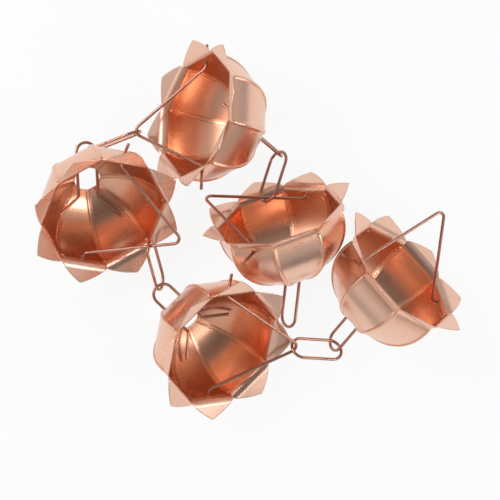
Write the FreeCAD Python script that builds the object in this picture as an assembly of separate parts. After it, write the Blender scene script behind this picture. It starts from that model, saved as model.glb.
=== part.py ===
import FreeCAD, Part
import math
import os

# Rain chain of five lotus cups, lying in a loose loop as it comes to rest on a flat surface.
# Millimetres, +Z up, origin on the surface below the middle of the chain.

# Cup: one pressed sheet, eight flat gores that end in petals flared outward
GORES = 8
SHEET = 0.6
HOLE_APOTHEM = 10.3
BOWL_RADIUS = 42.8
BOWL_OFFSET = 4.2
NECK_HEIGHT = 49.0
FLARE_BEND = 7.0
FLARE_RISE = 16.0
TIP_RADIUS = 62.7
NOTCH_MARGIN = 0.4
PETAL_BULGE = 1.2

# Seams: raised beads along the corners between the gores
SEAM_WIDTH = 2.8
SEAM_PROUD = 0.7

# Wire pieces
WIRE = 2.5
WIRE_GAP = 0.6

# Bail: a triangle of wire whose ends pass out through two opposite gores
PIN_HEIGHT = 46.5
PIN_CLEARANCE = 0.35
ARM_INSET = 4.0
ARM_BEND = 4.0
BAIL_RISE = 71.0
APEX_BEND = 5.0
TAIL = 15.0

# Bottom loop: a U of wire with splayed ends, hung in the bottom hole
LEG_SPACING = 16.5
LOOP_LENGTH = 44.0
SPLAY_HEIGHT = 1.5
SPLAY_RISE = 40.0
SPLAY_LENGTH = 22.0
SPLAY_BEND = 3.0

# Link: an oblong of wire with a butt joint in one long side
LINK_LENGTH = 43.0
LINK_WIDTH = 18.0
BUTT_GAP = 0.4
BUTT_OFFSET = 6.0

# Lay of the chain, from its top cup to its bottom cup, in degrees and millimetres.
# heading and lean tip the cup's axis, spin turns the bail's pins about it, bail swings the bail on its pins,
# turn and swing set the bottom loop in the hole, and push is how far it has slid up through the hole.
# link_heading, link_slack and link_roll set the link that comes from the cup before, which lies on the bail
# at hook: 0 at the apex, 1 or -1 at either end of the arms.
TOP_CUP_X = 85.0
TOP_CUP_Y = -53.5
LAY = {
    5: dict(heading=42.5, lean=64.5, spin=-5.5, bail=21, turn=277, swing=10.5, push=4),
    4: dict(heading=320.5, lean=44.5, spin=87, bail=-71.5, turn=138, swing=-54, push=8.5,
            link_heading=176, link_slack=0.5, link_roll=7.5, hook=0),
    2: dict(heading=298.5, lean=38, spin=73.5, bail=-63, turn=103, swing=-54, push=14,
            link_heading=104.5, link_slack=0, link_roll=20, hook=-0.34),
    1: dict(heading=165.5, lean=58.5, spin=98.5, bail=67.5, turn=48, swing=21, push=5.5,
            link_heading=21, link_slack=0, link_roll=-6, hook=0),
    3: dict(heading=105.5, lean=65, spin=70.5, bail=69, turn=248.5, swing=-26, push=0,
            link_heading=-108, link_slack=0, link_roll=10, hook=0.63),
}

V = FreeCAD.Vector
X = V(1, 0, 0)
Y = V(0, 1, 0)
Z = V(0, 0, 1)
WIRE_RADIUS = WIRE / 2
HALF_GORE = math.pi / GORES
LINK_REACH = WIRE + WIRE_GAP


def polar(length, angle):
    return length * math.cos(angle), length * math.sin(angle)


def bowl_centre():
    """Centre of the bowl's arc in the plane of a gore's middle, as radius and height."""
    rise = math.sqrt(BOWL_RADIUS ** 2 - (HOLE_APOTHEM - BOWL_OFFSET) ** 2)
    return BOWL_OFFSET, rise


def wall_apothem(height):
    """Distance from the cup's axis to the middle of the sheet, on the bowl."""
    r, h = bowl_centre()
    return r + math.sqrt(BOWL_RADIUS ** 2 - (height - h) ** 2)


def meridian(offset, flared):
    """Edges along a gore from the hole outward, shifted to the outer side by offset."""
    r0, h0 = bowl_centre()
    start = math.atan2(-h0, HOLE_APOTHEM - r0)
    neck = math.asin((NECK_HEIGHT - h0) / BOWL_RADIUS)

    def on_bowl(angle):
        dr, dh = polar(BOWL_RADIUS + offset, angle)
        return V(r0 + dr, 0, h0 + dh)

    edges = [Part.Arc(on_bowl(start), on_bowl((start + neck) / 2), on_bowl(neck)).toShape()]
    if flared:
        dr, dh = polar(BOWL_RADIUS + FLARE_BEND, neck)
        rise = math.radians(FLARE_RISE)
        first = neck + math.pi
        last = math.pi / 2 + rise

        def on_bend(angle):
            br, bh = polar(FLARE_BEND - offset, angle)
            return V(r0 + dr + br, 0, h0 + dh + bh)

        edges.append(Part.Arc(on_bend(first), on_bend((first + last) / 2), on_bend(last)).toShape())
        edge_in = on_bend(last)
        run = TIP_RADIUS + FLARE_BEND - edge_in.x
        edges.append(Part.makeLine(edge_in, edge_in + V(run, 0, run * math.tan(rise))))
    return edges


def gore_strip(half_thickness, flared):
    """One gore's sheet, straight across and wider than the gore."""
    outer = meridian(half_thickness, flared)
    inner = meridian(-half_thickness, flared)
    ends = [(e[0].firstVertex(True).Point, e[-1].lastVertex(True).Point) for e in (outer, inner)]
    caps = [Part.makeLine(ends[0][i], ends[1][i]) for i in (0, 1)]
    profile = Part.Face(Part.Wire(Part.__sortEdges__(outer + inner + caps)))
    half_width = TIP_RADIUS * math.tan(HALF_GORE)
    profile.translate(V(0, -half_width, 0))
    return profile.extrude(V(0, 2 * half_width, 0))


def cutter(edges):
    """A plan outline, drawn up past the top of the cup."""
    outline = Part.Face(Part.Wire(edges))
    outline.translate(V(0, 0, -BOWL_RADIUS))
    return outline.extrude(V(0, 0, 3 * BOWL_RADIUS))


def notch_apothem():
    """The notches between petals lie just outside the widest part of the bowl."""
    return BOWL_OFFSET + BOWL_RADIUS + SHEET / 2 + SEAM_PROUD + NOTCH_MARGIN


def petal_plan():
    """Plan of one gore: a wedge from the axis that ends in a pointed arch."""
    a = notch_apothem()
    b = a * math.tan(HALF_GORE)
    tip = V(TIP_RADIUS, 0, 0)
    edges = []
    for side in (-1, 1):
        notch = V(a, side * b, 0)
        chord = tip - notch
        across = V(-chord.y, chord.x, 0) * (-side)
        across.normalize()
        bulge = (notch + tip) * 0.5 + across * (-PETAL_BULGE)
        arc = Part.Arc(notch, bulge, tip) if side < 0 else Part.Arc(tip, bulge, notch)
        edges.append(arc.toShape())
        edges.append(Part.makeLine(V(0, 0, 0), notch))
    return Part.__sortEdges__(edges)


def seam_plan(side):
    """Plan of the half bead that a gore carries along one of its corners."""
    a = notch_apothem()
    corner = V(a, side * a * math.tan(HALF_GORE), 0)
    inward = V(math.sin(HALF_GORE), -side * math.cos(HALF_GORE), 0) * (SEAM_WIDTH / 2)
    return Part.makePolygon([V(0, 0, 0), corner, corner + inward, inward, V(0, 0, 0)]).Edges


def make_cup():
    gore = gore_strip(SHEET / 2, True).common(cutter(petal_plan()))
    bead = gore_strip(SHEET / 2 + SEAM_PROUD, False)
    halves = [bead.common(cutter(seam_plan(side))) for side in (-1, 1)]
    sector = gore.fuse(halves)
    sectors = []
    for k in range(GORES):
        copy = sector.copy()
        copy.rotate(V(0, 0, 0), Z, 360.0 * k / GORES)
        sectors.append(copy)
    cup = sectors[0].fuse(sectors[1:]).removeSplitter()
    reach = 2 * BOWL_RADIUS
    pin_holes = Part.makeCylinder(WIRE_RADIUS + PIN_CLEARANCE, 2 * reach, V(-reach, 0, PIN_HEIGHT), X)
    return cup.cut(pin_holes)


def bent_wire(corners, bends):
    """A round wire through the corners, each inner corner rounded to its bend radius."""
    edges = []
    here = corners[0]
    for before, corner, after, bend in zip(corners, corners[1:], corners[2:], bends):
        a = (corner - before).normalize()
        b = (after - corner).normalize()
        half = (math.pi - a.getAngle(b)) / 2
        run = bend / math.tan(half)
        middle = corner + (b - a).normalize() * (bend / math.sin(half) - bend)
        if (corner - a * run - here).Length > 1e-6:
            edges.append(Part.makeLine(here, corner - a * run))
        edges.append(Part.Arc(corner - a * run, middle, corner + b * run).toShape())
        here = corner + b * run
    edges.append(Part.makeLine(here, corners[-1]))
    path = Part.Wire(edges)
    section = Part.Face(Part.Wire(Part.makeCircle(WIRE_RADIUS, corners[0], corners[1] - corners[0])))
    return path.makePipe(section)


def arm_corner():
    """Distance from the cup's axis to the bail's lower corners."""
    return wall_apothem(PIN_HEIGHT) - SHEET / 2 - ARM_INSET


def make_bail():
    """The bail upright over its pins, which lie along X."""
    foot = arm_corner()
    tail = wall_apothem(PIN_HEIGHT) + SHEET / 2 + TAIL
    corners = [V(-tail, 0, 0), V(-foot, 0, 0), V(0, 0, BAIL_RISE), V(foot, 0, 0), V(tail, 0, 0)]
    return bent_wire(corners, [ARM_BEND, APEX_BEND, ARM_BEND])


def bail_hook(place, pull):
    """Where a link pulled along pull lies on the bail's wire, and the wire's direction there."""
    foot = arm_corner()
    top = V(0, 0, BAIL_RISE)
    if place:
        arm = V(math.copysign(foot, place), 0, 0) - top
        return top + arm * abs(place), arm.normalize()
    half = math.atan2(foot, BAIL_RISE)
    reach = math.pi / 2 - half
    angle = max(-reach, min(reach, math.atan2(pull.x, pull.z)))
    square = V(math.sin(angle), 0, math.cos(angle))
    return top - Z * (APEX_BEND / math.sin(half)) + square * APEX_BEND, square.cross(Y)


def make_loop():
    """The bottom loop hanging straight down, its splayed ends along X from the origin's height."""
    half = LEG_SPACING / 2
    out, up = polar(SPLAY_LENGTH, math.radians(SPLAY_RISE))
    foot = -LOOP_LENGTH
    corners = [
        V(-half - out, 0, up), V(-half, 0, 0), V(-half, 0, foot),
        V(half, 0, foot), V(half, 0, 0), V(half + out, 0, up),
    ]
    return bent_wire(corners, [SPLAY_BEND, half, half, SPLAY_BEND])


def loop_catch(pull):
    """Where a link pulled along pull lies in the loop's closed end, and the wire's direction there."""
    bend = LEG_SPACING / 2
    angle = max(-math.pi / 2, min(math.pi / 2, math.atan2(pull.x, -pull.z)))
    square = V(math.sin(angle), 0, -math.cos(angle))
    return Z * (bend - LOOP_LENGTH) + square * bend, square.cross(Y)


def make_link():
    """A link with its long side along X, centred on the origin."""
    half_length = LINK_LENGTH / 2
    half_width = LINK_WIDTH / 2
    joint = V(BUTT_OFFSET, half_width, 0)
    corners = [
        joint + X * (BUTT_GAP / 2), V(half_length, half_width, 0), V(half_length, -half_width, 0),
        V(-half_length, -half_width, 0), V(-half_length, half_width, 0), joint - X * (BUTT_GAP / 2),
    ]
    return bent_wire(corners, [half_width] * 4)


def turned(lay):
    """Turn of a cup: spun about its axis, then leaned over towards its heading."""
    heading = math.radians(lay["heading"])
    lean = FreeCAD.Rotation(V(-math.sin(heading), math.cos(heading), 0), lay["lean"])
    return lean.multiply(FreeCAD.Rotation(Z, lay["spin"]))


def bail_place(lay):
    return FreeCAD.Placement(V(0, 0, PIN_HEIGHT), FreeCAD.Rotation(X, -lay["bail"]))


def loop_place(lay):
    swing = FreeCAD.Rotation(Z, lay["turn"]).multiply(FreeCAD.Rotation(X, lay["swing"]))
    return FreeCAD.Placement(V(0, 0, SPLAY_HEIGHT) + swing.multVec(Z) * lay["push"], swing)


def link_place(start, end, wires, roll):
    """Place of a link over the wire at start that lies towards end, rolled from square to both wires."""
    along = (end - start).normalize()
    level = Z.cross(along).normalize()
    upright = along.cross(level)
    cosine = 0
    sine = 0
    for wire in wires:
        angle = 2 * math.atan2(wire.dot(upright), wire.dot(level))
        cosine += math.cos(angle)
        sine += math.sin(angle)
    square = math.atan2(sine, cosine) / 2 + math.pi / 2 + math.radians(roll)
    across = level * math.cos(square) + upright * math.sin(square)
    rotation = FreeCAD.Rotation(along, across, along.cross(across), "XYZ")
    return FreeCAD.Placement(start + along * (LINK_LENGTH / 2 - LINK_REACH), rotation)


def link_between(loop, rotation, lay, lowest):
    """Ends of the link from a placed loop to the next cup's bail: points on the wires and directions."""
    turned_bail = FreeCAD.Placement(V(), rotation) * bail_place(lay)
    heading = math.radians(lay["link_heading"])
    reach = LINK_LENGTH - 2 * LINK_REACH - lay["link_slack"]

    def ends(pull):
        hook, bail_wire = bail_hook(lay["hook"], turned_bail.Rotation.inverted().multVec(pull * -1))
        catch, loop_wire = loop_catch(loop.Rotation.inverted().multVec(pull))
        on_bail = turned_bail.multVec(hook), turned_bail.Rotation.multVec(bail_wire)
        on_loop = loop.multVec(catch), loop.Rotation.multVec(loop_wire)
        return on_bail + on_loop

    pull = V(math.cos(heading), math.sin(heading), 0)
    for step in range(12):
        hook, bail_wire, catch, loop_wire = ends(pull)
        rise = hook.z - lowest - catch.z
        flat = math.sqrt(reach ** 2 - rise ** 2)
        pull = V(flat * math.cos(heading), flat * math.sin(heading), rise)
    return hook, bail_wire, catch, loop_wire, pull


def lay_chain(cup):
    """Placement of every piece: each cup on the surface, each link from the loop before to the next bail."""
    places = {}
    hinges = {}
    before = None
    for number, lay in LAY.items():
        rotation = turned(lay)
        unit = {"cup": FreeCAD.Placement(), "bail": bail_place(lay), "loop": loop_place(lay)}
        leaned = cup.copy().transformed(FreeCAD.Placement(V(), rotation).toMatrix())
        lowest = leaned.optimalBoundingBox().ZMin
        base = V(TOP_CUP_X, TOP_CUP_Y, -lowest)
        if before:
            loop = places["loop", before]
            hook, bail_wire, catch, loop_wire, pull = link_between(loop, rotation, lay, lowest)
            start = catch + pull
            base = start - hook
            wires = (bail_wire, loop_wire)
            places["link", number] = link_place(start, catch, wires, lay["link_roll"])
            hinges["link", number] = (start, bail_wire, catch, loop_wire)
        for kind, place in unit.items():
            places[kind, number] = FreeCAD.Placement(base, rotation) * place
        before = number
    return places, hinges


def build():
    """Every piece in its place, by node name, with the origin under the middle of the chain."""
    shapes = {"cup": make_cup(), "bail": make_bail(), "loop": make_loop(), "link": make_link()}
    places, hinges = lay_chain(shapes["cup"])
    pieces = {}
    for (kind, number), place in places.items():
        pieces[kind + "_" + str(number)] = shapes[kind].copy().transformed(place.toMatrix())
    box = Part.makeCompound(list(pieces.values())).optimalBoundingBox()
    shift = V(-box.Center.x, -box.Center.y, -box.ZMin)
    for piece in pieces.values():
        piece.translate(shift)
    return pieces, places, hinges, shift


def main():
    os.makedirs("parts", exist_ok=True)
    pieces, places, hinges, shift = build()
    for name, piece in pieces.items():
        piece.exportStep("parts/" + name + ".step")


main()
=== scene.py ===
import bpy
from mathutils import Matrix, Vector

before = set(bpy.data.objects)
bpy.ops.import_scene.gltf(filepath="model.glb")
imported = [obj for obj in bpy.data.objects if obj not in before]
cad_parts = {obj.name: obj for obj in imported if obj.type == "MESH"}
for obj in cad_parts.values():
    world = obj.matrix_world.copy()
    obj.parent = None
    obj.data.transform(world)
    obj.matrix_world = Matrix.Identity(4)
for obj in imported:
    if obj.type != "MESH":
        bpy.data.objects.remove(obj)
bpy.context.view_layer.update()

BLACK = (0, 0, 0, 1)
WHITE = (1, 1, 1, 1)

# View: straight down on the chain, 0.4 m across the picture
VIEW_CENTRE = (0.0001, -0.0161)
VIEW_WIDTH = 0.4
VIEW_HEIGHT = 3.0
MIDDLE_HEIGHT = 0.05
SENSOR = 36.0
VIEW_END = 20.0

# Copper, in linear light: the sheet is painted paler on the open sides as a painted reflection, and left
# deeper in the hollows as painted shade
# Painted reflection: the pale colour put on the sheet's open sides
SHEET_PAINTED_SHEEN = (0.86, 0.54, 0.41, 1)
SHEET_COLOUR = (0.94, 0.51, 0.33, 1)
SHEET_DEEP = (0.92, 0.43, 0.24, 1)
WIRE_COLOUR = (0.50, 0.26, 0.19, 1)
WIRE_DEEP = (0.34, 0.15, 0.10, 1)
# Painted shade: reach and stops of the occlusion mask that keeps the hollows deeper and turns the open sides
# to the painted reflection
PAINTED_SHADE_REACH = 0.05
PAINTED_SHADE_STOPS = [(0.70, BLACK), (0.97, WHITE)]

# Gloss of the copper, from its smoothest to its roughest patches, and the fineness of the patches
SHEET_GLOSS = (0.24, 0.32)
SHEET_PATCHES = 14.0
WIRE_GLOSS = (0.22, 0.38)
WIRE_PATCHES = 30.0
GLOSS_FINENESS = 2.3

# Relief of the copper: rounded edges, shallow waves and handling marks
EDGE_RADIUS = 0.0014
SHEET_WAVES = 0.05
WIRE_WAVES = 0.04
WAVE_SCALE = 60.0
WAVE_DEPTH = 0.002
MARKS = 0.05
MARK_SCALE = 900.0
MARK_DEPTH = 0.0002

# Dark specks, which lie in sparse groups
SPECK_SCALE = 90.0
SPECK_STOPS = [(0.03, WHITE), (0.05, BLACK)]
GROUP_SCALE = 38.0
GROUP_STOPS = [(0.66, BLACK), (0.70, WHITE)]
SPECK_SHADE = (0.35, 0.3, 0.3)

# Floor, just below the chain
FLOOR_SIZE = 12.0
FLOOR_HEIGHT = -0.0002
FLOOR_COLOUR = (0.9, 0.9, 0.9, 1)
FLOOR_GLOW = 0.9

# Studio screens: light by height, from the horizon to the ceiling, and across from the middle to the right
SCREEN_STRENGTH = 0.8
LIGHT_BY_HEIGHT = [
    (0.0, (0.40, 0.40, 0.41, 1)), (0.25, (0.62, 0.62, 0.63, 1)), (0.42, WHITE),
    (0.62, (0.92, 0.92, 0.93, 1)), (0.80, (0.45, 0.45, 0.46, 1)), (1.0, (0.18, 0.18, 0.19, 1)),
]
LIGHT_ACROSS = [
    (0.0, WHITE), (0.30, (0.80, 0.80, 0.80, 1)),
    (0.52, (0.50, 0.50, 0.51, 1)), (0.80, (0.95, 0.95, 0.95, 1)),
]


def node(tree, kind, **inputs):
    """A new node with its inputs set by name."""
    made = tree.nodes.new(kind)
    for name, value in inputs.items():
        made.inputs[name].default_value = value
    return made


def ramp(tree, source, stops):
    """A colour ramp over source, with stops of position and colour."""
    made = tree.nodes.new("ShaderNodeValToRGB")
    elements = made.color_ramp.elements
    while len(elements) < len(stops):
        elements.new(0.5)
    for element, (position, colour) in zip(elements, stops):
        element.position = position
        element.color = colour
    tree.links.new(source, made.inputs["Fac"])
    return made.outputs["Color"]


def noise(tree, place, scale, detail, roughness=0.5):
    """Noise over the object's own coordinates."""
    made = node(tree, "ShaderNodeTexNoise", Scale=scale, Detail=detail, Roughness=roughness)
    tree.links.new(place, made.inputs["Vector"])
    return made.outputs["Fac"]


def combined(tree, operation, first, second):
    """Two outputs taken together by a math operation."""
    made = tree.nodes.new("ShaderNodeMath")
    made.operation = operation
    tree.links.new(first, made.inputs[0])
    tree.links.new(second, made.inputs[1])
    return made.outputs["Value"]


def mixed(tree, factor, first, colour):
    """The first colour, turned to a fixed colour by factor."""
    made = tree.nodes.new("ShaderNodeMix")
    made.data_type = "RGBA"
    tree.links.new(factor, made.inputs["Factor"])
    tree.links.new(first, made.inputs["A"])
    made.inputs["B"].default_value = colour
    return made.outputs["Result"]


def copper_tint(tree, place, painted_sheen, colour, deep, patches):
    """A tint that wanders, painted paler outside the hollows as a painted reflection and left deeper in them
    as painted shade, with a few dark specks.
    """
    tint = ramp(tree, noise(tree, place, patches, 3.0, 0.55), [(0.35, deep), (0.65, colour)])
    # Painted light and shade: where occlusion finds open sides the tint turns to the pale painted
    # reflection, and the hollows keep the deeper tint as painted shade
    painted_shade_mask = node(tree, "ShaderNodeAmbientOcclusion", Distance=PAINTED_SHADE_REACH)
    painted_shade_mask.samples = 8
    painted_shade_mask.only_local = True
    tint = mixed(tree, ramp(tree, painted_shade_mask.outputs["AO"], PAINTED_SHADE_STOPS), tint, painted_sheen)
    specks = node(tree, "ShaderNodeTexVoronoi", Scale=SPECK_SCALE)
    tree.links.new(place, specks.inputs["Vector"])
    speck = ramp(tree, specks.outputs["Distance"], SPECK_STOPS)
    group = ramp(tree, noise(tree, place, GROUP_SCALE, 1.0), GROUP_STOPS)
    dark = [channel * shade for channel, shade in zip(deep, SPECK_SHADE)]
    return mixed(tree, combined(tree, "MULTIPLY", speck, group), tint, (*dark, 1))


def copper_gloss(tree, place, gloss, patches):
    """A roughness that wanders from the first value of gloss to the second."""
    spread = tree.nodes.new("ShaderNodeMapRange")
    spread.inputs["From Min"].default_value = 0.3
    spread.inputs["From Max"].default_value = 0.7
    spread.inputs["To Min"].default_value = gloss[0]
    spread.inputs["To Max"].default_value = gloss[1]
    tree.links.new(noise(tree, place, patches * GLOSS_FINENESS, 5.0, 0.6), spread.inputs["Value"])
    return spread.outputs["Result"]


def copper_relief(tree, place, waves):
    """Rounded edges, then shallow waves, then fine marks."""
    edges = node(tree, "ShaderNodeBevel", Radius=EDGE_RADIUS)
    edges.samples = 6
    wavy = node(tree, "ShaderNodeBump", Strength=waves, Distance=WAVE_DEPTH)
    tree.links.new(noise(tree, place, WAVE_SCALE, 2.0), wavy.inputs["Height"])
    tree.links.new(edges.outputs["Normal"], wavy.inputs["Normal"])
    marked = node(tree, "ShaderNodeBump", Strength=MARKS, Distance=MARK_DEPTH)
    tree.links.new(noise(tree, place, MARK_SCALE, 2.0, 0.6), marked.inputs["Height"])
    tree.links.new(wavy.outputs["Normal"], marked.inputs["Normal"])
    return marked.outputs["Normal"]


def copper(name, painted_sheen, colour, deep, gloss, patches, waves):
    """Satin copper."""
    material = bpy.data.materials.new(name)
    material.use_nodes = True
    tree = material.node_tree
    shader = tree.nodes["Principled BSDF"]
    shader.inputs["Metallic"].default_value = 1.0
    place = tree.nodes.new("ShaderNodeTexCoord").outputs["Object"]
    tint = copper_tint(tree, place, painted_sheen, colour, deep, patches)
    tree.links.new(tint, shader.inputs["Base Color"])
    tree.links.new(copper_gloss(tree, place, gloss, patches), shader.inputs["Roughness"])
    tree.links.new(copper_relief(tree, place, waves), shader.inputs["Normal"])
    return material


def white_floor():
    """White to the eye and in reflections, with the chain's soft shadow."""
    material = bpy.data.materials.new("white_floor")
    material.use_nodes = True
    tree = material.node_tree
    tree.nodes.clear()
    out = tree.nodes.new("ShaderNodeOutputMaterial")
    matte = node(tree, "ShaderNodeBsdfDiffuse", Color=FLOOR_COLOUR)
    glow = node(tree, "ShaderNodeEmission", Color=WHITE, Strength=1.0)
    path = tree.nodes.new("ShaderNodeLightPath").outputs
    mirrored = combined(tree, "MAXIMUM", path["Is Glossy Ray"], path["Is Transmission Ray"])
    share = tree.nodes.new("ShaderNodeMath")
    share.operation = "MULTIPLY"
    share.inputs[1].default_value = FLOOR_GLOW
    tree.links.new(combined(tree, "MAXIMUM", path["Is Camera Ray"], mirrored), share.inputs[0])
    mix = tree.nodes.new("ShaderNodeMixShader")
    tree.links.new(share.outputs["Value"], mix.inputs["Fac"])
    tree.links.new(matte.outputs["BSDF"], mix.inputs[1])
    tree.links.new(glow.outputs["Emission"], mix.inputs[2])
    tree.links.new(mix.outputs["Shader"], out.inputs["Surface"])
    return material


def studio():
    """Pale screens all round, dimmer towards the ceiling and on one side."""
    world = bpy.data.worlds.new("studio")
    bpy.context.scene.world = world
    world.use_nodes = True
    tree = world.node_tree
    place = tree.nodes.new("ShaderNodeTexCoord")
    split = tree.nodes.new("ShaderNodeSeparateXYZ")
    tree.links.new(place.outputs["Generated"], split.inputs["Vector"])
    screens = tree.nodes.new("ShaderNodeMix")
    screens.data_type = "RGBA"
    screens.blend_type = "MULTIPLY"
    screens.inputs["Factor"].default_value = 1.0
    tree.links.new(ramp(tree, split.outputs["Z"], LIGHT_BY_HEIGHT), screens.inputs["A"])
    tree.links.new(ramp(tree, split.outputs["X"], LIGHT_ACROSS), screens.inputs["B"])
    background = tree.nodes["Background"]
    tree.links.new(screens.outputs["Result"], background.inputs["Color"])
    background.inputs["Strength"].default_value = SCREEN_STRENGTH


def soft_light(name, place, size, power):
    """A large lamp at place, turned to the chain."""
    lamp = bpy.data.lights.new(name, "AREA")
    lamp.shape = "RECTANGLE"
    lamp.size = size[0]
    lamp.size_y = size[1]
    lamp.energy = power
    holder = bpy.data.objects.new(name, lamp)
    holder.location = place
    holder.rotation_euler = (-Vector(place)).to_track_quat("-Z", "Y").to_euler()
    bpy.context.collection.objects.link(holder)


def overhead_camera():
    camera = bpy.data.cameras.new("camera")
    camera.sensor_width = SENSOR
    camera.lens = SENSOR * (VIEW_HEIGHT - MIDDLE_HEIGHT) / VIEW_WIDTH
    camera.clip_end = VIEW_END
    viewer = bpy.data.objects.new("camera", camera)
    viewer.location = (*VIEW_CENTRE, VIEW_HEIGHT)
    bpy.context.collection.objects.link(viewer)
    bpy.context.scene.camera = viewer


# The third colour given to each finish is its painted reflection on open sides; the wire's is its own colour
sheet = copper("copper_sheet", SHEET_PAINTED_SHEEN, SHEET_COLOUR, SHEET_DEEP, SHEET_GLOSS, SHEET_PATCHES, SHEET_WAVES)
wire = copper("copper_wire", WIRE_COLOUR, WIRE_COLOUR, WIRE_DEEP, WIRE_GLOSS, WIRE_PATCHES, WIRE_WAVES)
for name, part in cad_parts.items():
    finish = sheet if name.startswith("cup") else wire
    part.data.materials.clear()
    part.data.materials.append(finish)

bpy.ops.mesh.primitive_plane_add(size=FLOOR_SIZE, location=(0, 0, FLOOR_HEIGHT))
floor = bpy.context.object
floor.name = "floor"
floor.data.materials.append(white_floor())

studio()
soft_light("key", (-0.9, 0.5, 1.0), (0.8, 0.6), 9.0)
soft_light("fill", (1.1, -0.4, 0.9), (0.5, 0.8), 6.0)
overhead_camera()
bpy.context.scene.view_settings.view_transform = "Standard"
